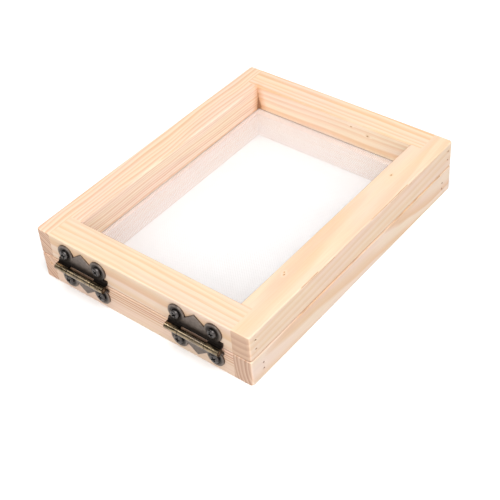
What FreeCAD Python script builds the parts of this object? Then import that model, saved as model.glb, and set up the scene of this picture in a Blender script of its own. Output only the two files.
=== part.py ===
import FreeCAD, Part
import os
import re
import Sketcher
from FreeCAD import Placement, Rotation, Vector

# A hinged pair of pine frames of one outline.  The lower frame, the mould, carries a stretched
# mesh on its top.  The upper frame, the deckle, lies on it and swings up on two butterfly hinges.
# +X runs along the short sides, +Y away from the hinged end, +Z up.  The origin is the centre of
# the bounding box at the level of the bench.

doc = FreeCAD.newDocument("hinged_screen_frame")

# ---------------------------------------------------------------- driving dimensions, in mm

SIZES = {
    # both frames
    "frame_length": 180.0,
    "frame_width": 139.0,
    "deckle_height": 15.7,
    "mould_height": 16.1,
    "parting_gap": 0.6,
    "corner_radius": 2.0,
    "arris_radius": 0.9,
    # rail widths, seen from above
    "deckle_left": 16.5,
    "deckle_right": 17.6,
    "deckle_hinge_end": 16.7,
    "deckle_far_end": 15.2,
    "mould_left": 18.4,
    "mould_right": 18.4,
    "mould_hinge_end": 18.6,
    "mould_far_end": 19.4,
    # the long rails are rebated at their ends for the short ones; this much of them is left
    "left_tongue": 9.3,
    "right_tongue": 10.7,
    # mesh and its staples
    "mesh_thickness": 0.25,
    "mesh_inset": 3.0,
    "staple_crown": 10.6,
    "staple_wire_width": 1.2,
    "staple_wire_thick": 0.45,
    "staple_leg": 5.0,
    "staple_pitch_long": 32.0,
    "staple_pitch_short": 38.0,
    # brads through the long rails into the ends of the short ones
    "brad_radius": 0.65,
    "brad_length": 24.0,
    "brad_set": 0.4,
    "deckle_brad_inset": 4.7,
    "deckle_brad_low": 5.6,
    "deckle_brad_step": 5.8,
    "mould_brad_inset": 9.2,
    "mould_brad_low": 5.2,
    "mould_brad_step": 4.0,
    # hinges
    "hinge_length": 33.4,
    "left_hinge_inset": 31.8,
    "right_hinge_inset": 32.6,
    "pin_offset": 3.5,
    "pin_rise": 0.3,
    "barrel_radius": 1.8,
    "pin_radius": 0.75,
    "bore_clearance": 0.05,
    "leaf_thickness": 1.0,
    "bend_radius": 1.6,
    "knuckle_gap": 0.3,
    "notch_clearance": 0.35,
    "strip_top": 3.8,
    "neck_half_width": 14.6,
    "neck_top": 7.4,
    "ear_radius": 5.2,
    "ear_spread": 11.3,
    "ear_height": 8.4,
    "gable_half_width": 6.3,
    "gable_shoulder": 8.4,
    "gable_top": 13.2,
    "leaf_edge_round": 0.3,
    # hinge screws
    "screw_head_radius": 2.7,
    "screw_head_height": 1.5,
    "screw_head_round": 1.0,
    "screw_shank_radius": 1.1,
    "screw_length": 8.0,
    "screw_tip": 2.4,
    "screw_hole_clearance": 0.2,
    "recess_half_length": 1.6,
    "recess_half_width": 0.4,
    "recess_depth": 1.0,
}

# what follows from them
DERIVED = {
    "hinge_proud": "=pin_offset + barrel_radius",
    "end_face": "=(hinge_proud - frame_length) / 2",
    "half_width": "=frame_width / 2",
    "deckle_base": "=mould_height + parting_gap",
    "frame_top": "=deckle_base + deckle_height",
    "pin_height": "=mould_height + parting_gap / 2 + pin_rise",
    "mesh_width": "=frame_width - 2 * mesh_inset",
    "mesh_length": "=frame_length - 2 * mesh_inset",
    "pin_line": "=end_face - pin_offset",
    "left_hinge": "=left_hinge_inset - half_width",
    "right_hinge": "=half_width - right_hinge_inset",
    "bore_radius": "=pin_radius + bore_clearance",
    "knuckle_split": "=hinge_length / 4",
    "notch_top": "=barrel_radius + notch_clearance",
}

sheet = doc.addObject("Spreadsheet::Sheet", "Sizes")
for row, (alias, value) in enumerate(list(SIZES.items()) + list(DERIVED.items()), start=1):
    sheet.set(f"A{row}", alias)
    sheet.set(f"B{row}", str(value))
    sheet.setAlias(f"B{row}", alias)
doc.recompute()

ALIASES = sorted(list(SIZES) + list(DERIVED), key=len, reverse=True)
ALIAS_WORD = re.compile(r"\b(" + "|".join(ALIASES) + r")\b")

PLAYROOM = 1.0          # how far a cutting or selecting box reaches past what it cuts
ON_PLANE = 1e-4         # two lengths closer than this are the same


def spelled_out(formula):
    """The formula with each alias given its sheet's name."""
    return ALIAS_WORD.sub(r"Sizes.\1", str(formula))


def size(formula):
    """The present value of a formula over the sheet's aliases."""
    return float(sheet.evalExpression(spelled_out(formula)))


def bind(item, **formulas):
    """Ties properties of item to formulas over the sheet's aliases."""
    for prop, formula in formulas.items():
        item.setExpression(prop.replace("__", "."), spelled_out(formula))


def place(item, x, y, z, rotation=None):
    """Ties the item's position to three formulas; the rotation is fixed."""
    item.Placement = Placement(Vector(), rotation or Rotation())
    bind(item, Placement__Base__x=x, Placement__Base__y=y, Placement__Base__z=z)


# ---------------------------------------------------------------- building blocks

ALONG_X = Rotation(Vector(0, 1, 0), 90)
ALONG_MINUS_X = Rotation(Vector(0, 1, 0), -90)


def box(name, corner, extent):
    item = doc.addObject("Part::Box", name)
    bind(item, Length=extent[0], Width=extent[1], Height=extent[2])
    place(item, *corner)
    return item


def cylinder(name, radius, length, start, rotation):
    item = doc.addObject("Part::Cylinder", name)
    bind(item, Radius=radius, Height=length)
    place(item, *start, rotation)
    return item


def gather(kind, name, items):
    """Part::Compound or Part::MultiFuse of several objects."""
    item = doc.addObject(kind, name)
    if kind == "Part::Compound":
        item.Links = items
    else:
        item.Shapes = items
    return item


def combine(kind, name, base, tool):
    """Part::Cut or Part::Common of two objects."""
    item = doc.addObject(kind, name)
    item.Base = base
    item.Tool = tool
    return item


def new_body(name):
    return doc.addObject("PartDesign::Body", name)


def new_sketch(body, plane, offset="0"):
    """A sketch on one of the body's origin planes, moved along the plane's normal."""
    item = body.newObject("Sketcher::SketchObject", f"{body.Name}_sketch")
    role = f"{plane}_Plane"
    support = [f for f in body.Origin.OriginFeatures if f.Role == role][0]
    item.AttachmentSupport = [(support, "")]
    item.MapMode = "FlatFace"
    bind(item, AttachmentOffset__Base__z=offset)
    return item


def draw_polygon(drawing, points):
    """Closed outline whose corners are pinned to formulas over the sheet."""
    first = drawing.GeometryCount
    count = len(points)
    guess = [Vector(size(u), size(v), 0) for u, v in points]
    for i in range(count):
        drawing.addGeometry(Part.LineSegment(guess[i], guess[(i + 1) % count]), False)
    for i in range(count):
        here = first + i
        following = first + (i + 1) % count
        drawing.addConstraint(Sketcher.Constraint("Coincident", here, 2, following, 1))
    for i, corner in enumerate(points):
        for kind, formula, value in zip(("DistanceX", "DistanceY"), corner, guess[i]):
            index = drawing.addConstraint(Sketcher.Constraint(kind, -1, 1, first + i, 1, value))
            bind(drawing, **{f"Constraints[{index}]": formula})


def draw_circle(drawing, u, v, radius):
    """Circle with its centre and radius pinned to formulas over the sheet."""
    centre = Vector(size(u), size(v), 0)
    shape = Part.Circle(centre, Vector(0, 0, 1), size(radius))
    circle = drawing.addGeometry(shape, False)
    for kind, formula, value in (("DistanceX", u, centre.x), ("DistanceY", v, centre.y)):
        index = drawing.addConstraint(Sketcher.Constraint(kind, -1, 1, circle, 3, value))
        bind(drawing, **{f"Constraints[{index}]": formula})
    index = drawing.addConstraint(Sketcher.Constraint("Radius", circle, size(radius)))
    bind(drawing, **{f"Constraints[{index}]": radius})


def feature(body, kind, drawing, length):
    """Pad or Pocket of a sketch, by a formula's length."""
    item = body.newObject(f"PartDesign::{kind}", f"{body.Name}_{kind.lower()}")
    item.Profile = drawing
    bind(item, Length=length)
    drawing.Visibility = False
    doc.recompute()
    return item


def round_edges(body, base, wanted, radius):
    """Fillet of the edges of base for which wanted(edge) holds."""
    names = [f"Edge{i}" for i, e in enumerate(base.Shape.Edges, start=1) if wanted(e)]
    item = body.newObject("PartDesign::Fillet", f"{body.Name}_fillet")
    item.Base = (base, names)
    bind(item, Radius=radius)
    doc.recompute()
    return item


def at(edge, **where):
    """True where the whole edge lies on each plane named, such as z=3.4."""
    bounds = edge.BoundBox
    spans = {
        "x": (bounds.XMin, bounds.XMax),
        "y": (bounds.YMin, bounds.YMax),
        "z": (bounds.ZMin, bounds.ZMax),
    }
    return all(abs(end - value) < ON_PLANE for key, value in where.items() for end in spans[key])


# ---------------------------------------------------------------- frames

SIDES = ("left", "right", "hinge_end", "far_end")


def frame_blank(frame, base_height):
    """The whole frame in one piece, rounded as it was sanded after its rails were joined."""
    body = new_body(f"{frame}_blank")
    drawing = new_sketch(body, "XY")
    near, far = "end_face", "end_face + frame_length"
    draw_polygon(drawing, [
        ("-half_width", near),
        ("half_width", near),
        ("half_width", far),
        ("-half_width", far),
    ])
    draw_polygon(drawing, [
        (f"{frame}_left - half_width", f"{near} + {frame}_hinge_end"),
        (f"half_width - {frame}_right", f"{near} + {frame}_hinge_end"),
        (f"half_width - {frame}_right", f"{far} - {frame}_far_end"),
        (f"{frame}_left - half_width", f"{far} - {frame}_far_end"),
    ])
    pad = feature(body, "Pad", drawing, f"{frame}_height")
    half = size("half_width")
    corners = round_edges(
        body, pad, lambda e: at(e, x=half) and e.BoundBox.YLength < ON_PLANE
        or at(e, x=-half) and e.BoundBox.YLength < ON_PLANE, "corner_radius")
    top = size(f"{frame}_height")
    parting = top if frame == "mould" else 0
    near_face, far_face = size(near), size(far)

    def round_window(edge):
        """True for the edges of the window, which lie inside the outline."""
        bounds = edge.BoundBox
        across = bounds.XMin > ON_PLANE - half and bounds.XMax < half - ON_PLANE
        return across and bounds.YMin > near_face + ON_PLANE and bounds.YMax < far_face - ON_PLANE

    # the window's edges beside the mesh stay sharp
    round_edges(
        body, corners,
        lambda e: (at(e, z=0) or at(e, z=top)) and not (round_window(e) and at(e, z=parting)), "arris_radius")
    place(body, "0", "0", base_height)
    return body


def rail_regions(frame, base_height):
    """
    The shapes that take the rails out of the blank.  Short rails end in rebates of the long ones,
    so the long rails' regions are boxes less the short rails' boxes.
    """
    low = f"{base_height} - {PLAYROOM}"
    tall = f"{frame}_height + {2 * PLAYROOM}"
    near = f"end_face - {PLAYROOM}"
    long = f"frame_length + {2 * PLAYROOM}"
    short_start = "left_tongue - half_width"
    short_long = "frame_width - left_tongue - right_tongue"
    far_start = f"end_face + frame_length - {frame}_far_end"
    short = {
        "hinge_end": box(f"{frame}_hinge_end_region", (short_start, near, low),
                         (short_long, f"{frame}_hinge_end + {PLAYROOM}", tall)),
        "far_end": box(f"{frame}_far_end_region", (short_start, far_start, low),
                       (short_long, f"{frame}_far_end + {PLAYROOM}", tall)),
    }
    starts = {"left": f"-half_width - {PLAYROOM}", "right": f"half_width - {frame}_right"}
    rebates = gather("Part::Compound", f"{frame}_rebates", list(short.values()))
    regions = dict(short)
    for side, start in starts.items():
        width = f"{frame}_{side} + {PLAYROOM}"
        whole = box(f"{frame}_{side}_box", (start, near, low), (width, long, tall))
        regions[side] = combine("Part::Cut", f"{frame}_{side}_region", whole, rebates)
    return regions


# ---------------------------------------------------------------- fasteners

def make_brads(frame, side, base_height):
    """Four brads through one long rail, two into the end of each short rail, and their holes."""
    inward = ALONG_X if side == "left" else ALONG_MINUS_X
    sign = "-" if side == "left" else ""
    back = "+" if side == "left" else "-"
    brads = []
    holes = []
    ends = {
        "near": f"end_face + {frame}_brad_inset",
        "far": f"end_face + frame_length - {frame}_brad_inset",
    }
    for end, along in ends.items():
        for level in (0, 1):
            height = f"{base_height} + {frame}_brad_low + {level} * {frame}_brad_step"
            name = f"{frame}_{side}_{end}_{level}"
            start = (f"{sign}half_width {back} brad_set", along, height)
            brads.append(cylinder(f"brad_{name}", "brad_radius", "brad_length", start, inward))
            opposite = "-" if side == "left" else "+"
            mouth = (f"{sign}half_width {opposite} {PLAYROOM}", along, height)
            deep = f"brad_length + brad_set + {PLAYROOM}"
            holes.append(cylinder(f"hole_{name}", "brad_radius", deep, mouth, inward))
    return gather("Part::Compound", f"{frame}_{side}_brads", brads), holes


def make_screw(name, x, z, turn):
    """Pan-head wood screw with a cross recess; its own +Z is the way it is driven out."""
    body = new_body(name)
    profile = new_sketch(body, "XZ")
    draw_polygon(profile, [
        ("0", "-screw_length"),
        ("screw_shank_radius", "screw_tip - screw_length"),
        ("screw_shank_radius", "0"),
        ("screw_head_radius", "0"),
        ("screw_head_radius", "screw_head_height"),
        ("0", "screw_head_height"),
    ])
    turned = body.newObject("PartDesign::Revolution", f"{name}_revolution")
    turned.Profile = profile
    turned.ReferenceAxis = (profile, ["V_Axis"])
    turned.Angle = 360
    doc.recompute()
    rim = size("screw_head_radius")
    top = size("screw_head_height")
    round_edges(
        body, turned, lambda e: at(e, z=top) and abs(e.BoundBox.XMax - rim) < ON_PLANE, "screw_head_round")
    cross = new_sketch(body, "XY", "screw_head_height")
    long, wide = "recess_half_length", "recess_half_width"
    quarter = [(long, f"-{wide}"), (long, wide), (wide, wide)]
    corners = []
    for _ in range(4):
        corners += quarter
        quarter = [(negate(v), u) for u, v in quarter]
    draw_polygon(cross, corners)
    feature(body, "Pocket", cross, "recess_depth")
    driven = Rotation(Vector(1, 0, 0), 90) * Rotation(Vector(0, 0, 1), turn)
    place(body, x, "end_face - leaf_thickness", z, driven)
    return body


def negate(formula):
    """The formula with its sign changed; it is one alias with or without a minus."""
    return formula[1:] if formula.startswith("-") else f"-{formula}"


def make_staple(name, x, y, lengthwise):
    """Wire staple over the mesh: a crown on the rail's top and two legs in the wood."""
    long, wide, thick = "staple_crown", "staple_wire_width", "staple_wire_thick"
    pieces = []
    half_long, half_wide = f"{long} / 2", f"{wide} / 2"
    crown_height = "mould_height"
    leg_base = "mould_height - staple_leg"
    leg_height = f"staple_leg + {thick}"
    if lengthwise:
        pieces.append(box(f"{name}_crown", (f"{x} - {half_wide}", f"{y} - {half_long}", crown_height),
                          (wide, long, thick)))
        for tag, start in (("a", f"{y} - {half_long}"), ("b", f"{y} + {half_long} - {thick}")):
            pieces.append(box(f"{name}_leg_{tag}", (f"{x} - {half_wide}", start, leg_base),
                              (wide, thick, leg_height)))
    else:
        pieces.append(box(f"{name}_crown", (f"{x} - {half_long}", f"{y} - {half_wide}", crown_height),
                          (long, wide, thick)))
        for tag, start in (("a", f"{x} - {half_long}"), ("b", f"{x} + {half_long} - {thick}")):
            pieces.append(box(f"{name}_leg_{tag}", (start, f"{y} - {half_wide}", leg_base),
                              (thick, wide, leg_height)))
    return gather("Part::MultiFuse", name, pieces)


# ---------------------------------------------------------------- hinges

def make_leaf(name, x, lower):
    """
    Butterfly leaf about its pin line: a plate with two round ears and a gable, bent outwards and
    rolled round the pin.  The upper leaf has the two outer knuckles, the lower leaf the middle one.
    """
    body = new_body(name)
    strip = "barrel_radius - leaf_thickness"
    half = "hinge_length / 2"
    right_side = [
        (half, strip),
        (half, "strip_top"),
        ("neck_half_width", "strip_top"),
        ("neck_half_width", "neck_top"),
        ("gable_half_width", "neck_top"),
        ("gable_half_width", "gable_shoulder"),
    ]
    left_side = [(f"-({u})", v) for u, v in reversed(right_side)]
    outline = new_sketch(body, "XZ", "-pin_offset")
    draw_polygon(outline, right_side + [("0", "gable_top")] + left_side)
    feature(body, "Pad", outline, "leaf_thickness")
    ears = new_sketch(body, "XZ", "-pin_offset")
    draw_circle(ears, "ear_spread", "ear_height", "ear_radius")
    draw_circle(ears, "-ear_spread", "ear_height", "ear_radius")
    feature(body, "Pad", ears, "leaf_thickness")

    # the shelf between the plate and the top of the barrel, with both bends
    shelf = new_sketch(body, "YZ", "-hinge_length / 2")
    draw_polygon(shelf, [
        ("0", strip),
        ("pin_offset", strip),
        ("pin_offset", "barrel_radius"),
        ("0", "barrel_radius"),
    ])
    bent = feature(body, "Pad", shelf, "hinge_length")
    back, front = size("pin_offset"), size("pin_offset") - size("leaf_thickness")
    inner, outer = size("barrel_radius"), size("barrel_radius") - size("leaf_thickness")
    bent = round_edges(body, bent, lambda e: at(e, y=back, z=outer), "bend_radius + leaf_thickness")
    round_edges(body, bent, lambda e: at(e, y=front, z=inner), "bend_radius")

    barrel = new_sketch(body, "YZ", "-hinge_length / 2")
    draw_circle(barrel, "0", "0", "barrel_radius")
    feature(body, "Pad", barrel, "hinge_length")
    bore = new_sketch(body, "YZ", f"hinge_length / 2 + {PLAYROOM}")
    draw_circle(bore, "0", "0", "bore_radius")
    feature(body, "Pocket", bore, f"hinge_length + {2 * PLAYROOM}")

    # room for the other leaf's knuckles
    notch = new_sketch(body, "XZ", f"barrel_radius + {PLAYROOM}")
    low = f"-barrel_radius - {PLAYROOM}"
    if lower:
        edge = "knuckle_split - knuckle_gap / 2"
        past = f"hinge_length / 2 + {PLAYROOM}"
        spans = [(edge, past), (f"-({past})", f"-({edge})")]
    else:
        edge = "knuckle_split + knuckle_gap / 2"
        spans = [(f"-({edge})", edge)]
    for start, stop in spans:
        draw_polygon(notch, [(start, low), (stop, low), (stop, "notch_top"), (start, "notch_top")])
    feature(body, "Pocket", notch, f"barrel_radius + pin_offset + {2 * PLAYROOM}")

    holes = new_sketch(body, "XZ", f"-pin_offset + leaf_thickness + {PLAYROOM}")
    for sign in ("", "-"):
        draw_circle(holes, f"{sign}ear_spread", "ear_height", "screw_shank_radius + screw_hole_clearance")
    plate = feature(body, "Pocket", holes, f"leaf_thickness + {2 * PLAYROOM}")

    # the front edges of the ears and the gable are eased
    lowest = size("strip_top") + ON_PLANE
    hole = size("screw_shank_radius") + size("screw_hole_clearance")
    round_edges(
        body, plate,
        lambda e: at(e, y=front) and e.BoundBox.ZMax > lowest and e.BoundBox.ZLength > 2 * ON_PLANE
        and abs(e.BoundBox.XLength - 2 * hole) > ON_PLANE and e.BoundBox.XLength > ON_PLANE,
        "leaf_edge_round")
    turn = Rotation(Vector(0, 1, 0), 180 if lower else 0)
    place(body, x, "pin_line", "pin_height", turn)
    return body


# ---------------------------------------------------------------- assembly

nodes = {}
driven_into = {f"{frame}_{side}": [] for frame in ("deckle", "mould") for side in SIDES}

BASES = {"deckle": "deckle_base", "mould": "0"}
for frame, base_height in BASES.items():
    for side in ("left", "right"):
        brads, holes = make_brads(frame, side, base_height)
        nodes[f"{frame}_{side}_brads"] = brads
        driven_into[f"{frame}_{side}"] += holes
        driven_into[f"{frame}_hinge_end"] += holes[:2]
        driven_into[f"{frame}_far_end"] += holes[2:]

# one turn of the cross for each screw, as they happened to stop
SCREW_TURNS = {
    "left_hinge_upper": (12, 47),
    "left_hinge_lower": (30, 5),
    "right_hinge_upper": (38, 20),
    "right_hinge_lower": (0, 33),
}
for hinge in ("left_hinge", "right_hinge"):
    for level, sign in (("upper", "+"), ("lower", "-")):
        leaf = f"{hinge}_{level}"
        nodes[f"{leaf}_leaf"] = make_leaf(f"{leaf}_leaf", hinge, level == "lower")
        screws = []
        for tag, turn in zip("-+", SCREW_TURNS[leaf]):
            screw_name = f"{leaf}_screw_{'west' if tag == '-' else 'east'}"
            screws.append(make_screw(
                screw_name, f"{hinge} {tag} ear_spread", f"pin_height {sign} ear_height", turn))
        nodes[f"{leaf}_screws"] = gather("Part::Compound", f"{leaf}_screws", screws)
        frame = "deckle" if level == "upper" else "mould"
        driven_into[f"{frame}_hinge_end"] += screws
    start = (f"{hinge} - hinge_length / 2", "pin_line", "pin_height")
    nodes[f"{hinge}_pin"] = cylinder(f"{hinge}_pin", "pin_radius", "hinge_length", start, ALONG_X)

STAPLES_LONG = (-2, -1, 0, 1, 2)
STAPLES_SHORT = (-1, 0, 1)
middle = "end_face + frame_length / 2"
along_long = [f"{middle} + {k} * staple_pitch_long" for k in STAPLES_LONG]
along_short = [f"{k} * staple_pitch_short" for k in STAPLES_SHORT]
left_line = "mould_left / 2 - half_width"
right_line = "half_width - mould_right / 2"
near_line = "end_face + mould_hinge_end / 2"
far_line = "end_face + frame_length - mould_far_end / 2"
staple_rows = {
    "left": [(left_line, y, True) for y in along_long],
    "right": [(right_line, y, True) for y in along_long],
    "hinge_end": [(x, near_line, False) for x in along_short],
    "far_end": [(x, far_line, False) for x in along_short],
}
all_staples = []
for side, row in staple_rows.items():
    staples = [make_staple(f"staple_{side}_{i}", *spot) for i, spot in enumerate(row)]
    driven_into[f"mould_{side}"] += staples
    all_staples += staples
nodes["mesh_staples"] = gather("Part::Compound", "mesh_staples", all_staples)

mesh_blank = box("mesh_blank", ("-mesh_width / 2", "end_face + mesh_inset", "mould_height"),
                 ("mesh_width", "mesh_length", "mesh_thickness"))
nodes["mesh_screen"] = combine("Part::Cut", "mesh_screen", mesh_blank, nodes["mesh_staples"])

for frame, base_height in BASES.items():
    blank = frame_blank(frame, base_height)
    for side, region in rail_regions(frame, base_height).items():
        name = f"{frame}_{side}_rail"
        solid = combine("Part::Common", f"{name}_blank", blank, region)
        holes = gather("Part::Compound", f"{name}_holes", driven_into[f"{frame}_{side}"])
        nodes[name] = combine("Part::Cut", name, solid, holes)

doc.recompute()

# ---------------------------------------------------------------- checks and files

for item in doc.Objects:
    if "Invalid" in item.State or "Error" in item.State:
        raise RuntimeError(f"{item.Name} failed: {item.State}")

os.makedirs("parts", exist_ok=True)
for name, item in nodes.items():
    item.Label = name
    if item.Shape.isNull() or not item.Shape.isValid():
        raise RuntimeError(f"{name} has no valid shape")
    item.Shape.exportStep(f"parts/{name}.step")
    print(f"{name}: {len(item.Shape.Solids)} solids, {item.Shape.Volume:.1f} mm3")
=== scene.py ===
import math
import random

import bpy
from mathutils import Matrix, Vector


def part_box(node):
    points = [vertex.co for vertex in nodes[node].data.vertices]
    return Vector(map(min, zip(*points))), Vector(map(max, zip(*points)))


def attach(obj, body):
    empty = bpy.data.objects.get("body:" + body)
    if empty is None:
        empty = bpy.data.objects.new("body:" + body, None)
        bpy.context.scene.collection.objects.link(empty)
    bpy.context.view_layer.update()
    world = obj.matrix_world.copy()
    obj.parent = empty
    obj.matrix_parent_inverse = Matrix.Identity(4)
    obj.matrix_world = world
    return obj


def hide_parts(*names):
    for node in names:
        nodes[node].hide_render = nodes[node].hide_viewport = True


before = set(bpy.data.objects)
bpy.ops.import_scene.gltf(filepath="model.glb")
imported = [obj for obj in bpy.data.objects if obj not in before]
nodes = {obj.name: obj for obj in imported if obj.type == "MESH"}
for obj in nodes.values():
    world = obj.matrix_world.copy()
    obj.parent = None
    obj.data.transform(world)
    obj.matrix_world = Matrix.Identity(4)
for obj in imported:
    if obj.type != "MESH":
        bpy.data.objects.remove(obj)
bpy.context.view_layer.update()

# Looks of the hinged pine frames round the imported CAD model.  Metres, in the CAD model's frame.
# Materials work in millimetres of the object's own coordinates, so that grain keeps its scale.

MM = 0.001
scene = bpy.context.scene


# ---------------------------------------------------------------- camera, floor and light

VIEW_AZIMUTH = 41.27         # degrees, 0 looks along +Y and 90 along -X
VIEW_ELEVATION = 41.70
VIEW_ROLL = -4.87            # the photographer's camera was a little tilted
VIEW_DISTANCE = 0.5945
VIEW_AIM = Vector((0.00859, -0.01177, 0.0))
LENS_MM = 79.9
SENSOR_MM = 36.0

FLOOR_HALF = 3.0             # half the floor's side

# the studio is bright on the side SKY_TOWARDS and falls off to the other
SKY_TOWARDS = (0.62, -0.55, 0.45)
SKY_DIM = 0.22
SKY_BRIGHT = 1.15
SKY_FALL = (0.15, 0.80)      # cosines from SKY_TOWARDS between which it brightens

# name, place, side of the square lamp and watts; the lamps all face the origin
LAMPS = (
    ("key", (0.5, -0.4, 1.6), 1.2, 22.0),
    ("rim", (0.9, 0.5, 1.5), 1.0, 6.0),
    ("fill", (0.3, -1.4, 0.8), 0.8, 4.5),
    ("strip", (-0.74, -0.65, 1.13), 0.35, 2.2),
)


def make_camera():
    data = bpy.data.cameras.new("camera")
    data.lens = LENS_MM
    data.sensor_width = SENSOR_MM
    camera = bpy.data.objects.new("camera", data)
    scene.collection.objects.link(camera)
    azimuth, elevation = math.radians(VIEW_AZIMUTH), math.radians(VIEW_ELEVATION)
    forward = Vector((
        -math.sin(azimuth) * math.cos(elevation),
        math.cos(azimuth) * math.cos(elevation),
        -math.sin(elevation),
    ))
    level_right = forward.cross(Vector((0, 0, 1))).normalized()
    right = Matrix.Rotation(math.radians(-VIEW_ROLL), 3, forward) @ level_right
    up = right.cross(forward)
    turn = Matrix((right, up, -forward)).transposed()
    camera.matrix_world = Matrix.Translation(VIEW_AIM - forward * VIEW_DISTANCE) @ turn.to_4x4()
    scene.camera = camera


def make_floor():
    corners = [(FLOOR_HALF * x, FLOOR_HALF * y, 0) for x, y in ((-1, -1), (1, -1), (1, 1), (-1, 1))]
    mesh = bpy.data.meshes.new("floor")
    mesh.from_pydata(corners, [], [(0, 1, 2, 3)])
    floor = bpy.data.objects.new("floor", mesh)
    scene.collection.objects.link(floor)
    g = Graph("floor_paper")
    mottle = g.noise(g.coordinates(), scale=0.02, detail=2)
    colour = g.mix(mottle, (0.93, 0.93, 0.93), (0.90, 0.90, 0.90))
    g.finish(g.principled(colour, g.rescale(mottle, 0.75, 0.9), specular=0.2))
    mesh.materials.append(g.material)


def make_light(name, place, side, watts):
    data = bpy.data.lights.new(name, "AREA")
    data.shape = "SQUARE"
    data.size = side
    data.energy = watts
    light = bpy.data.objects.new(name, data)
    scene.collection.objects.link(light)
    light.location = place
    light.rotation_euler = (-Vector(place)).to_track_quat("-Z", "Y").to_euler()


def make_world():
    world = bpy.data.worlds.new("studio")
    world.use_nodes = True
    tree = world.node_tree
    background = tree.nodes["Background"]
    place = tree.nodes.new("ShaderNodeTexCoord")
    along = tree.nodes.new("ShaderNodeVectorMath")
    along.operation = "DOT_PRODUCT"
    tree.links.new(place.outputs["Generated"], along.inputs[0])
    along.inputs[1].default_value = Vector(SKY_TOWARDS).normalized()
    fall = tree.nodes.new("ShaderNodeMapRange")
    fall.interpolation_type = "SMOOTHSTEP"
    ends = {"From Min": SKY_FALL[0], "From Max": SKY_FALL[1], "To Min": SKY_DIM, "To Max": SKY_BRIGHT}
    for socket, number in ends.items():
        fall.inputs[socket].default_value = number
    tree.links.new(along.outputs["Value"], fall.inputs["Value"])
    tree.links.new(fall.outputs["Result"], background.inputs["Strength"])
    background.inputs["Color"].default_value = (1.0, 1.0, 1.0, 1.0)
    scene.world = world


# ---------------------------------------------------------------- node building

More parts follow.
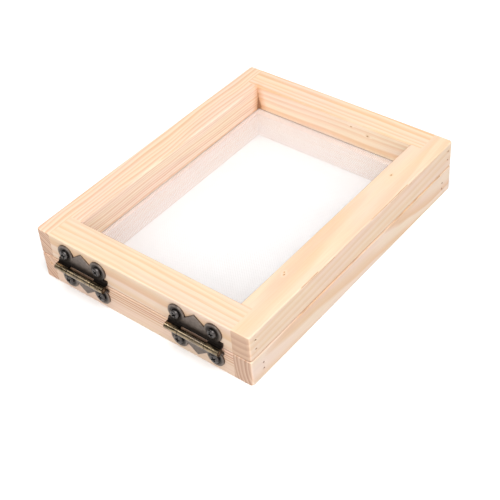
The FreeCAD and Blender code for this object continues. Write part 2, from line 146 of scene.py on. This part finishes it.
class Graph:
    """A material under construction: each call adds a node and returns its output socket."""

    def __init__(self, name):
        self.material = bpy.data.materials.new(name)
        self.material.use_nodes = True
        self.tree = self.material.node_tree
        self.tree.nodes.clear()

    def feed(self, socket, value):
        if isinstance(value, bpy.types.NodeSocket):
            self.tree.links.new(value, socket)
        elif socket.type == "RGBA":
            socket.default_value = (*value[:3], 1.0)
        else:
            socket.default_value = value

    def coordinates(self):
        """Object coordinates in millimetres."""
        source = self.tree.nodes.new("ShaderNodeTexCoord").outputs["Object"]
        return self.vector("SCALE", source, scale=1 / MM)

    def normal(self):
        return self.tree.nodes.new("ShaderNodeTexCoord").outputs["Normal"]

    def vector(self, operation, a, b=None, scale=None):
        node = self.tree.nodes.new("ShaderNodeVectorMath")
        node.operation = operation
        self.feed(node.inputs[0], a)
        if b is not None:
            self.feed(node.inputs[1], b)
        if scale is not None:
            self.feed(node.inputs["Scale"], scale)
        return node.outputs["Value" if operation in ("LENGTH", "DOT_PRODUCT") else "Vector"]

    def math(self, operation, a, b=None, c=None, clamp=False):
        node = self.tree.nodes.new("ShaderNodeMath")
        node.operation = operation
        node.use_clamp = clamp
        for socket, value in zip(node.inputs, (a, b, c)):
            if value is not None:
                self.feed(socket, value)
        return node.outputs[0]

    def plus(self, a, b):
        return self.math("ADD", a, b)

    def minus(self, a, b):
        return self.math("SUBTRACT", a, b)

    def times(self, a, b):
        return self.math("MULTIPLY", a, b)

    def split(self, vector):
        node = self.tree.nodes.new("ShaderNodeSeparateXYZ")
        self.feed(node.inputs[0], vector)
        return node.outputs[0], node.outputs[1], node.outputs[2]

    def combine(self, x, y, z=0.0):
        node = self.tree.nodes.new("ShaderNodeCombineXYZ")
        for socket, value in zip(node.inputs, (x, y, z)):
            self.feed(socket, value)
        return node.outputs[0]

    def noise(self, vector, scale=1.0, detail=2.0, roughness=0.5, colour=False):
        node = self.tree.nodes.new("ShaderNodeTexNoise")
        self.feed(node.inputs["Vector"], vector)
        node.inputs["Scale"].default_value = scale
        node.inputs["Detail"].default_value = detail
        node.inputs["Roughness"].default_value = roughness
        return node.outputs[1 if colour else 0]

    def rescale(self, value, low, high, start=0.0, stop=1.0):
        """value mapped from start..stop to low..high, clamped."""
        node = self.tree.nodes.new("ShaderNodeMapRange")
        self.feed(node.inputs[0], value)
        for socket, number in zip(list(node.inputs)[1:5], (start, stop, low, high)):
            self.feed(socket, number)
        return node.outputs[0]

    def step(self, value, start, stop):
        """Smooth step: 0 up to start, 1 from stop on; start may be the larger."""
        node = self.tree.nodes.new("ShaderNodeMapRange")
        node.interpolation_type = "SMOOTHSTEP"
        self.feed(node.inputs[0], value)
        flipped = start > stop
        low, high = (stop, start) if flipped else (start, stop)
        ends = (1.0, 0.0) if flipped else (0.0, 1.0)
        for socket, number in zip(list(node.inputs)[1:5], (low, high, *ends)):
            socket.default_value = number
        return node.outputs[0]

    def ramp(self, value, stops):
        """Grey ramp through (position, brightness) stops."""
        node = self.tree.nodes.new("ShaderNodeValToRGB")
        elements = node.color_ramp.elements
        while len(elements) < len(stops):
            elements.new(0.5)
        for element, (position, grey) in zip(elements, stops):
            element.position = position
            element.color = (grey, grey, grey, 1)
        self.feed(node.inputs[0], value)
        return node.outputs[0]

    def mix(self, factor, a, b, blend="MIX"):
        node = self.tree.nodes.new("ShaderNodeMix")
        node.data_type = "RGBA"
        node.blend_type = blend
        self.feed(node.inputs[0], factor)
        self.feed(node.inputs[6], a)
        self.feed(node.inputs[7], b)
        return node.outputs[2]

    def bump(self, height, depth_mm, strength=1.0):
        node = self.tree.nodes.new("ShaderNodeBump")
        node.inputs["Strength"].default_value = strength
        node.inputs["Distance"].default_value = depth_mm * MM
        self.feed(node.inputs["Height"], height)
        return node.outputs[0]

    def principled(self, colour, roughness, metallic=0.0, specular=0.5, normal=None):
        node = self.tree.nodes.new("ShaderNodeBsdfPrincipled")
        self.feed(node.inputs["Base Color"], colour)
        self.feed(node.inputs["Roughness"], roughness)
        node.inputs["Metallic"].default_value = metallic
        node.inputs["Specular IOR Level"].default_value = specular
        if normal is not None:
            self.feed(node.inputs["Normal"], normal)
        return node.outputs[0]

    def finish(self, shader):
        output = self.tree.nodes.new("ShaderNodeOutputMaterial")
        self.tree.links.new(shader, output.inputs["Surface"])


def dress(name, graph):
    """Gives a CAD node a finished material in every slot."""
    mesh = nodes[name].data
    if not mesh.materials:
        mesh.materials.append(graph.material)
    for index in range(len(mesh.materials)):
        mesh.materials[index] = graph.material


# ---------------------------------------------------------------- pine

EARLYWOOD = (0.745, 0.588, 0.468)
LATEWOOD = (0.660, 0.395, 0.225)
RED_LINES = (0.60, 0.31, 0.18)
DEEP_RED_LINES = (0.50, 0.23, 0.13)
PINK = (1.0, 0.955, 0.94)
YELLOW = (1.0, 0.985, 0.90)
INNER_PAINTED_LIGHT = (1.12, 1.19, 1.26)      # painted light: the deckle's faces round the window are painted lighter, for the light the white mesh throws back on them
# painted shade: the outer faces are painted darker
OUTER_PAINTED_SHADE = (0.80, 0.83, 0.87)
MOULD_INNER_PAINTED_SHADE = (0.90, 0.84, 0.86)     # painted shade: the mould's faces round the mesh are painted darker and pinker, for the shade under the mesh
# painted shade on the mould's upward faces under the mesh
MOULD_UPPER_PAINTED_SHADE = (0.82, 0.76, 0.78)
END_TINT = (0.76, 0.68, 0.63)
END_BROWN = (0.68, 0.60, 0.55)       # the right-hand rails' ends are the browner ones
END_LATEWOOD = (0.34, 0.20, 0.14)
END_PORES = (0.42, 0.25, 0.15)
END_BOLD = 1.7                       # how much more strongly the rings show on an end
KNOT_CORE = (0.36, 0.18, 0.08)
# the orange round knots, flecks and cracks, and round the painted shade lines along the parting gap
HALO_BROWN_AND_PARTING_SHADE = (0.70, 0.42, 0.22)
# dark of the cracks, and of the painted shade along the parting gap
CRACK_AND_PARTING_SHADE = (0.22, 0.12, 0.07)
STAIN = (0.26, 0.11, 0.05)
STAIN_HALO = (0.66, 0.34, 0.16)
STAIN_REACH = 2.2                    # of the stain in the far left corner, in millimetres

# across one ring, outwards from the pith
RING = ((0.0, 0.0), (0.3, 0.12), (0.62, 0.8), (0.84, 1.0), (0.96, 0.4), (1.0, 0.0))
KNOT_STRETCH = 0.62                  # knots are drawn out along the rail, by one over this
LINE_END_TAPER = 0.3                    # slope of the ends of the cracks and of the painted parting shade lines


class RailGraph(Graph):
    """A rail's material, with a point's place measured in millimetres from the rail's middle."""

    def __init__(self, rail):
        super().__init__(f"pine_{rail}")
        low, high = (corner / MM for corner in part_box(rail))
        centre = (low + high) / 2
        self.lengthwise = high.y - low.y > high.x - low.x
        self.place = self.coordinates()
        x, y, z = self.split(self.place)
        along, across = (y, x) if self.lengthwise else (x, y)
        middle_along, middle_across = (centre.y, centre.x) if self.lengthwise else (centre.x, centre.y)
        self.along = self.minus(along, middle_along)
        self.across = self.minus(across, middle_across)
        self.height = self.minus(z, centre.z)
        self.towards_window = -1.0 if middle_across > 0 else 1.0

    def stretched(self, along_scale, section_scale, shift, lift=0.0):
        """Noise coordinates whose scale along the rail differs from that across and up it."""
        return self.combine(
            self.math("MULTIPLY_ADD", self.along, along_scale, shift),
            self.times(self.across, section_scale),
            self.math("MULTIPLY_ADD", self.height, section_scale, lift))

    def tinted(self, where, colour, tone):
        """colour multiplied by tone, by as much as where says."""
        return self.mix(where, colour, tone, "MULTIPLY")


def knot_marks(g, knots):
    """For each knot, how far a point is from its heart, and its radius."""
    marks = []
    for along, height, across, radius in knots:
        reach = [g.times(g.minus(g.along, along), KNOT_STRETCH)]
        if height is not None:
            reach.append(g.minus(g.height, height))
        if across is not None:
            reach.append(g.minus(g.across, across))
        ragged = g.minus(g.noise(g.place, scale=1.1, detail=2), 0.5)
        away = g.vector("LENGTH", g.combine(*reach))
        marks.append((g.plus(away, g.times(ragged, radius * 1.3)), radius))
    return marks


def growth_rings(g, marks, lean, distance, pitch, seed, tilt, wander, band):
    """How strongly the rings' dark latewood shows at a point, from 0 to 1."""
    slow = g.stretched(0.014, 0.05, seed * 7.3, seed * 3.1)
    sway = g.split(g.vector("SUBTRACT", g.noise(slow, detail=2, colour=True), (0.5, 0.5, 0.5)))
    angle = math.radians(lean)
    u = g.minus(g.across, distance * math.cos(angle))
    u = g.plus(u, g.times(sway[0], wander))
    u = g.plus(u, g.times(g.along, tilt))
    v = g.minus(g.height, distance * math.sin(angle))
    v = g.plus(v, g.times(sway[1], wander))
    out = g.vector("LENGTH", g.combine(u, v))
    for away, radius in marks:           # knots push the rings aside
        out = g.plus(out, g.times(g.step(away, radius * 4.0, radius * 0.6), pitch * 0.25))

    uneven = g.noise(g.combine(g.times(out, 0.35 / pitch), seed), detail=1)
    phase = g.plus(g.math("DIVIDE", out, pitch), g.times(uneven, 1.6))
    each = g.combine(g.times(g.math("FLOOR", phase), 3.7), seed * 2.0)
    strength = g.rescale(g.noise(each, detail=0), 0.45, 1.0, 0.3, 0.65)
    latewood = g.times(g.ramp(g.math("FRACT", phase), RING), strength)
    if band is not None:
        latewood = g.times(latewood, g.rescale(g.height, 0.15, 1.0, *band))
    return latewood


def draw_knots(g, colour, marks):
    for away, radius in marks:
        colour = g.mix(g.times(g.step(away, radius * 2.2, radius * 0.8), 0.45), colour, HALO_BROWN_AND_PARTING_SHADE)
        colour = g.mix(g.times(g.step(away, radius, radius * 0.45), 0.85), colour, KNOT_CORE)
    return colour


def draw_cracks_and_parting_shade(g, colour, cracks_and_parting_shade):
    # some of these lines are painted shade along the parting gap between deckle and mould
    for start, stop, height, across, width in cracks_and_parting_shade:
        from_middle = g.math("ABSOLUTE", g.minus(g.along, (start + stop) / 2))
        past_end = g.math("MAXIMUM", g.minus(from_middle, (stop - start) / 2), 0.0)
        away = g.vector("LENGTH", g.combine(
            g.times(past_end, LINE_END_TAPER), g.minus(g.height, height), g.minus(g.across, across)))
        broken = g.noise(g.combine(g.times(g.along, 0.1), g.across, g.height), detail=3)
        away = g.plus(away, g.times(g.minus(broken, 0.5), width * 2.0))
        colour = g.mix(g.times(g.step(away, width * 3.0, width), 0.35), colour, HALO_BROWN_AND_PARTING_SHADE)
        colour = g.mix(g.times(g.step(away, width, width * 0.3), 0.75), colour, CRACK_AND_PARTING_SHADE)
    return colour


def draw_stain(g, colour, spot, reach):
    x, y, z = g.split(g.vector("SUBTRACT", g.place, tuple(spot)))
    soak = g.plus(g.vector("LENGTH", g.combine(x, y)), g.times(z, 0.18))
    soak = g.plus(soak, g.times(g.noise(g.place, scale=0.6, detail=3), 2.0))
    colour = g.mix(g.times(g.step(soak, reach * 3.2, reach * 0.6), 0.65), colour, STAIN_HALO)
    return g.mix(g.times(g.step(soak, reach, reach * 0.4), 0.75), colour, STAIN)


def pine(rail, lean, distance, pitch, contrast, tone, seed, tilt=0.0, wander=2.5, lines=LATEWOOD,
         band=None, knots=(), cracks_and_parting_shade=(), stain=None, inner=INNER_PAINTED_LIGHT, upper=None, end=END_TINT):
    """
    Pine sawn from a log.  Rings are cylinders about a pith line beside the rail: lean is the
    direction from the rail to the pith in the rail's section, in degrees from across towards up,
    distance is how far it is and pitch is the ring width, all in millimetres.  tilt is the pith's
    slope along the rail, lines the latewood's own colour, and band the heights between which the
    rings grow strong.  inner and upper are painted light and shade on those faces, and end is the
    end grain's tint.  A knot is (along, height, across, radius), with None for the coordinate that
    its branch runs along.
    Cracks, and the painted shade lines along the parting gap, are each (start, stop, height,
    across, width).  stain is a (spot, reach) in the frame's millimetres; the other places are
    measured from the rail's middle.
    """
    g = RailGraph(rail)
    marks = knot_marks(g, knots)
    latewood = growth_rings(g, marks, lean, distance, pitch, seed, tilt, wander, band)

    # fibres are long fine streaks, flecks short darker ones of resin
    fibre = g.noise(g.stretched(0.05, 2.4, seed), detail=4, roughness=0.65)
    fleck = g.step(g.noise(g.stretched(0.22, 3.1, seed * 5.0), detail=1), 0.70, 0.80)
    broad = g.noise(g.stretched(0.018, 0.10, seed * 9.0), detail=2)

    early = tuple(c * t for c, t in zip(EARLYWOOD, tone))
    late = tuple(c * t for c, t in zip(lines, tone))
    colour = g.mix(g.times(latewood, contrast), early, late)
    colour = g.tinted(1.0, colour, g.mix(g.step(broad, 0.35, 0.65), PINK, YELLOW))
    streak = g.rescale(fibre, 0.93, 1.05, 0.3, 0.7)
    colour = g.tinted(1.0, colour, g.combine(streak, streak, g.math("POWER", streak, 1.4)))
    colour = g.mix(g.times(fleck, 0.16), colour, HALO_BROWN_AND_PARTING_SHADE)

    # painted light and shade: the deckle's faces round the window are painted lighter, for the light the
    # mesh throws back, the outer faces darker, and the mould's faces round and under the mesh darker
    facings = g.split(g.normal())
    inward = g.times(facings[0 if g.lengthwise else 1], g.towards_window)
    colour = g.tinted(g.step(inward, 0.8, 0.98), colour, inner)
    colour = g.tinted(g.step(inward, -0.6, -0.95), colour, OUTER_PAINTED_SHADE)
    if upper is not None:
        colour = g.tinted(g.step(facings[2], 0.8, 0.98), colour, upper)

    # end grain is darker, and shows its rings more strongly
    end_face = g.step(g.math("ABSOLUTE", facings[1 if g.lengthwise else 0]), 0.55, 0.85)
    pores = g.noise(g.place, scale=2.6, detail=3, roughness=0.7)
    end_rings = g.math("MULTIPLY", latewood, contrast * END_BOLD, clamp=True)
    end_colour = g.mix(end_rings, g.tinted(1.0, early, end), END_LATEWOOD)
    end_colour = g.mix(g.rescale(pores, 0.0, 0.4, 0.35, 0.75), end_colour, END_PORES)
    colour = g.mix(end_face, colour, end_colour)

    colour = draw_knots(g, colour, marks)
    colour = draw_cracks_and_parting_shade(g, colour, cracks_and_parting_shade)
    if stain is not None:
        colour = draw_stain(g, colour, *stain)

    relief = g.plus(g.times(latewood, 0.35), g.times(fibre, 0.65))
    relief = g.plus(relief, g.times(g.times(pores, end_face), 0.8))
    rough = g.rescale(fibre, 0.52, 0.72, 0.3, 0.7)
    g.finish(g.principled(colour, rough, specular=0.28, normal=g.bump(relief, 0.12, 0.6)))
    return g


PLAIN = (1.0, 1.0, 1.0)
GREYER = (0.985, 1.0, 1.03)
REDDER = (0.98, 0.93, 0.90)

RAILS = {
    "deckle_left_rail": dict(
        lean=60, distance=60, pitch=1.5, contrast=0.8, tone=PLAIN, seed=1.3, tilt=0.018, wander=3.6,
        lines=RED_LINES),
    "deckle_right_rail": dict(
        lean=100, distance=34, pitch=4.2, contrast=0.38, tone=(0.98, 0.955, 0.93), seed=2.7, tilt=0.09,
        end=END_BROWN,
        knots=((-46.5, None, -3.6, 0.5), (-45.2, None, -4.6, 0.4), (46.5, None, -2.7, 0.6)),
        # the last of these, along the foot of the outer face, is painted shade of the parting gap
        cracks_and_parting_shade=((11, 44, 7.6, 8.5, 0.20), (-49, -36, 7.6, 8.5, 0.18), (-77.6, -75.8, 7.8, -7.9, 0.35),
                (-45, -22, 7.0, 8.8, 0.12), (28, 48, 6.7, 8.8, 0.12), (-52, 78, -7.8, 8.7, 0.28))),
    "deckle_hinge_end_rail": dict(
        lean=30, distance=46, pitch=2.9, contrast=0.7, tone=(0.99, 0.97, 0.95), seed=4.1, tilt=0.01,
        wander=4.0),
    "deckle_far_end_rail": dict(
        lean=-40, distance=60, pitch=2.2, contrast=0.85, tone=(1.0, 0.99, 0.98), seed=5.2, tilt=0.008,
        knots=((14, 4.4, None, 0.45), (25, 2.0, None, 0.6))),
    "mould_left_rail": dict(
        lean=220, distance=70, pitch=2.1, contrast=0.7, tone=REDDER, seed=6.6, tilt=0.01,
        knots=((-90, 3.0, -2.9, 0.8),)),
    "mould_right_rail": dict(
        lean=8, distance=50, pitch=2.2, contrast=0.8, tone=GREYER, seed=7.9, tilt=0.02,
        end=END_BROWN,
        # this line along the top of the outer face is painted shade of the parting gap
        cracks_and_parting_shade=((-52, 78, 7.9, 9.1, 0.28),)),
    "mould_hinge_end_rail": dict(
        lean=84, distance=90, pitch=1.8, contrast=1.0, tone=REDDER, seed=8.4, tilt=0.003, wander=0.9,
        lines=DEEP_RED_LINES, band=(-2.2, -0.2)),
    "mould_far_end_rail": dict(
        lean=-60, distance=52, pitch=2.6, contrast=0.5, tone=PLAIN, seed=9.8, tilt=0.01),
}


def inner_back_corner():
    """Where the deckle's left and far rails meet inside, at the middle of their height."""
    far_low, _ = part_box("deckle_far_end_rail")
    left_low, left_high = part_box("deckle_left_rail")
    return Vector((left_high.x, far_low.y, (left_low.z + left_high.z) / 2)) / MM


def dress_rails():
    corner = inner_back_corner()
    for rail, cut in RAILS.items():
        extra = {}
        if rail in ("deckle_left_rail", "deckle_far_end_rail"):
            extra["stain"] = (corner, STAIN_REACH)
        if rail.startswith("mould"):
            # the mould's faces get painted shade in place of the painted light
            extra.update(inner=MOULD_INNER_PAINTED_SHADE, upper=MOULD_UPPER_PAINTED_SHADE)
        dress(rail, pine(rail, **cut, **extra))


# ---------------------------------------------------------------- metal

PATINA = (0.128, 0.106, 0.092)
RUBBED_BRASS = (0.31, 0.235, 0.145)
# painted shade: the black painted on the leaves beside the barrel and round the screw heads
PAINTED_SHADE_BLACK = (0.007, 0.005, 0.004)
SCREW_BLACK = (0.060, 0.054, 0.052)
SCREW_WORN = (0.45, 0.40, 0.34)
PIN_METAL = (0.20, 0.16, 0.12)
BRAD_METAL = (0.20, 0.17, 0.15)
STAPLE_METAL = (0.62, 0.61, 0.60)
LEAF_SHADE_BY_LEVEL = {"upper": 0.98, "lower": 0.3}      # painted shade and dark reflection: how black a leaf is painted beside the barrel
LEAF_ROUGHNESS = (0.34, 0.5)
SCREW_ROUGHNESS = (0.22, 0.38)


def antique_metal(name, dark, worn, roughness, seed, barrel=None, barrel_shade=0.0, heads=()):
    """
    Dark plating that has rubbed brighter in places.  barrel is (y, z, radius) of a hinge's barrel
    in millimetres: the whole barrel is rubbed and smooth.  The argument after barrel is how black
    the plate is painted towards the barrel, as painted shade and dark reflection of the crank, and
    heads are the (x, z, radius) of screws with painted shade round them.
    """
    g = Graph(name)
    place = g.coordinates()
    shifted = g.vector("ADD", place, (seed, seed * 2, seed * 3))
    blotch = g.noise(shifted, scale=0.45, detail=4, roughness=0.6)
    grit = g.noise(shifted, scale=3.0, detail=3, roughness=0.6)
    colour = g.mix(g.step(blotch, 0.35, 0.68), dark, tuple(c * 1.5 for c in dark))
    wear = g.times(g.step(grit, 0.60, 0.74), 0.25)
    rough = g.rescale(blotch, *roughness, 0.3, 0.7)
    if barrel is not None:
        y0, z0, radius = barrel
        x, y, z = g.split(place)
        out = g.vector("LENGTH", g.combine(g.minus(y, y0), g.minus(z, z0)))
        # painted shade and dark reflection of the crank: the plate painted black towards the barrel
        barrel_shade_mask = g.times(g.step(out, radius * 4.2, radius * 1.5), barrel_shade)
        colour = g.mix(barrel_shade_mask, colour, PAINTED_SHADE_BLACK)
        # painted shade: black painted round each screw head
        for head_x, head_z, head_radius in heads:
            off = g.vector("LENGTH", g.combine(g.minus(x, head_x), g.minus(z, head_z)))
            head_shade_mask = g.step(off, head_radius * 1.75, head_radius * 1.25)
            colour = g.mix(g.times(head_shade_mask, 0.85), colour, PAINTED_SHADE_BLACK)
        on_barrel = g.step(out, radius * 1.10, radius * 1.02)
        scuffs = g.noise(g.combine(g.times(x, 0.25), y, z), detail=3)
        wear = g.times(on_barrel, g.rescale(scuffs, 0.15, 1.0, 0.35, 0.62))
        end_on = g.step(g.math("ABSOLUTE", g.split(g.normal())[0]), 0.5, 0.8)
        wear = g.times(wear, g.rescale(end_on, 1.0, 0.2))
        rough = g.minus(rough, g.times(on_barrel, roughness[0] * 0.5))
        grit = g.times(grit, g.minus(1.0, g.times(on_barrel, 0.96)))
    colour = g.mix(wear, colour, worn)
    g.finish(g.principled(colour, rough, metallic=1.0, normal=g.bump(grit, 0.03, 0.5)))
    return g


def wire(name, colour, roughness):
    g = Graph(name)
    drawn = g.noise(g.coordinates(), scale=2.0, detail=3)
    shade = g.mix(drawn, tuple(c * 0.75 for c in colour), colour)
    g.finish(g.principled(shade, g.rescale(drawn, roughness, roughness + 0.2), metallic=1.0,
                          normal=g.bump(drawn, 0.02, 0.4)))
    return g


def screw_heads(screws):
    """The (x, z, radius) of the two heads in a node of two screws side by side, in millimetres."""
    low, high = (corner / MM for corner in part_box(screws))
    radius = (high.z - low.z) / 2
    middle = (high.z + low.z) / 2
    return [(low.x + radius, middle, radius), (high.x - radius, middle, radius)]


def dress_hardware():
    pin_low, pin_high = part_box("left_hinge_pin")
    pin = (pin_low + pin_high) / 2 / MM
    leaf_low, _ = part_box("left_hinge_upper_leaf")
    barrel = (pin.y, pin.z, pin.y - leaf_low.y / MM)
    for index, hinge in enumerate(("left_hinge", "right_hinge")):
        for level in ("upper", "lower"):
            seed = 11.0 * index + (5.0 if level == "lower" else 0.0)
            dress(f"{hinge}_{level}_leaf", antique_metal(
                f"bronze_{hinge}_{level}", PATINA, RUBBED_BRASS, LEAF_ROUGHNESS, seed,
                barrel, LEAF_SHADE_BY_LEVEL[level], screw_heads(f"{hinge}_{level}_screws")))
            dress(f"{hinge}_{level}_screws", antique_metal(
                f"screw_{hinge}_{level}", SCREW_BLACK, SCREW_WORN, SCREW_ROUGHNESS, seed + 3.0))
        dress(f"{hinge}_pin", wire(f"pin_{hinge}", PIN_METAL, 0.3))
    for frame_name in ("deckle", "mould"):
        for side in ("left", "right"):
            name = f"{frame_name}_{side}_brads"
            dress(name, wire(f"brads_{frame_name}_{side}", BRAD_METAL, 0.4))
    dress("mesh_staples", wire("staple_wire", STAPLE_METAL, 0.22))


# ---------------------------------------------------------------- woven mesh

PITCH = 0.8 * MM
THREAD = 0.29 * MM
LIFT = 0.06 * MM             # how far a thread rises and falls as it passes over and under
SAG = 0.30 * MM              # of the mesh in the middle of the window
FRAY = 0.35 * MM             # the most that a thread's cut end sticks out
SEED = 20
TRANSLUCENCE = 0.35
WHITE = (0.87, 0.865, 0.87)
WHITER = (0.91, 0.905, 0.91)
DULL_WHITE = (0.83, 0.82, 0.825)


def make_mesh_screen():
    """Plain weave of flat threads, each passing over one thread and under the next."""
    draw = random.Random(SEED)
    low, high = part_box("mesh_screen")
    count = [round((high[k] - low[k]) / PITCH) for k in (0, 1)]
    step = [(high[k] - low[k]) / count[k] for k in (0, 1)]
    level = (low.z + high.z) / 2
    left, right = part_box("mould_left_rail")[1].x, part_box("mould_right_rail")[0].x
    near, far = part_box("mould_hinge_end_rail")[1].y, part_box("mould_far_end_rail")[0].y

    def drop(x, y):
        u = (2 * x - left - right) / (right - left)
        v = (2 * y - near - far) / (far - near)
        return SAG * max(0.0, 1 - u * u) * max(0.0, 1 - v * v)

    points = []
    faces = []
    for k in (0, 1):                      # 0: threads along Y, spaced in X; 1: the other way round
        other = 1 - k
        for i in range(count[k]):
            place = low[k] + (i + 0.5) * step[k]
            ends = (low[other] - draw.uniform(0, FRAY), high[other] + draw.uniform(0, FRAY))
            crossings = [low[other] + (j + 0.5) * step[other] for j in range(count[other])]
            stations = [ends[0], *crossings, ends[1]]
            first = len(points)
            for j, run in enumerate(stations):
                rise = LIFT if (i + j + k) % 2 else -LIFT
                if j in (0, len(stations) - 1):
                    rise = 0.0
                for side in (-0.5, 0.5):
                    spot = [0.0, 0.0]
                    spot[k] = place + side * THREAD
                    spot[other] = run
                    points.append((spot[0], spot[1], level + rise - drop(*spot)))
            for j in range(len(stations) - 1):
                a = first + 2 * j
                quad = (a, a + 1, a + 3, a + 2)
                faces.append(quad if k == 0 else quad[::-1])
    mesh = bpy.data.meshes.new("mesh_weave")
    mesh.from_pydata(points, [], faces)
    weave = bpy.data.objects.new("mesh_weave", mesh)
    scene.collection.objects.link(weave)

    g = Graph("white_monofilament")
    coordinates = g.coordinates()
    cloudy = g.noise(coordinates, scale=0.06, detail=3)
    fine = g.noise(coordinates, scale=1.3, detail=2)
    colour = g.mix(cloudy, WHITE, WHITER)
    colour = g.mix(g.times(fine, 0.12), colour, DULL_WHITE)
    body = g.principled(colour, g.rescale(fine, 0.32, 0.5), specular=0.45, normal=g.bump(fine, 0.02, 0.3))
    through = g.tree.nodes.new("ShaderNodeBsdfTranslucent")
    g.feed(through.inputs["Color"], colour)
    blend = g.tree.nodes.new("ShaderNodeMixShader")
    blend.inputs[0].default_value = TRANSLUCENCE
    g.tree.links.new(body, blend.inputs[1])
    g.tree.links.new(through.outputs[0], blend.inputs[2])
    g.finish(blend.outputs[0])
    mesh.materials.append(g.material)

    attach(weave, "mould")
    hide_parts("mesh_screen")


# ---------------------------------------------------------------- making it

scene.view_settings.view_transform = "Standard"
make_camera()
make_floor()
make_world()
for lamp in LAMPS:
    make_light(*lamp)
dress_rails()
dress_hardware()
make_mesh_screen()
